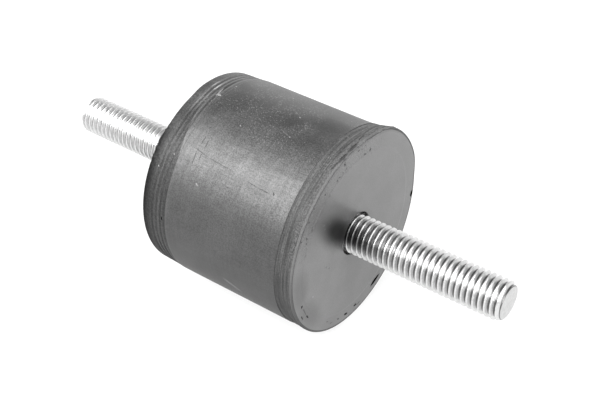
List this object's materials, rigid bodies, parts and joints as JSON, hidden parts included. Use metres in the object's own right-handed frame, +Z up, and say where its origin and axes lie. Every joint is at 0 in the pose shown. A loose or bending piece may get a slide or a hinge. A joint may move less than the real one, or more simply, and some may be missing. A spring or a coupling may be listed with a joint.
{
  "type": "transmission mount",
  "caption": "Cylindrical rubber transmission mount: a solid moulded rubber cushion with a threaded steel stud standing out of the middle of each end face.",
  "frame": {"origin": "middle of the rubber body, on the common axis of the two studs", "axes": "+X along the axis towards the front stud, +Z up as the mount lies on its side"},
  "size_m": [0.129, 0.0524, 0.0524],
  "materials": {
    "rubber": "satin moulded rubber",
    "plate_steel": "plain mild steel",
    "zinc_stud": "bright zinc plate"
  },
  "bodies": {
    "root": {"rubber_body": "rubber", "front_plate": "plate_steel", "rear_plate": "plate_steel", "front_stud": "zinc_stud", "rear_stud": "zinc_stud"}
  },
  "joints": []
}
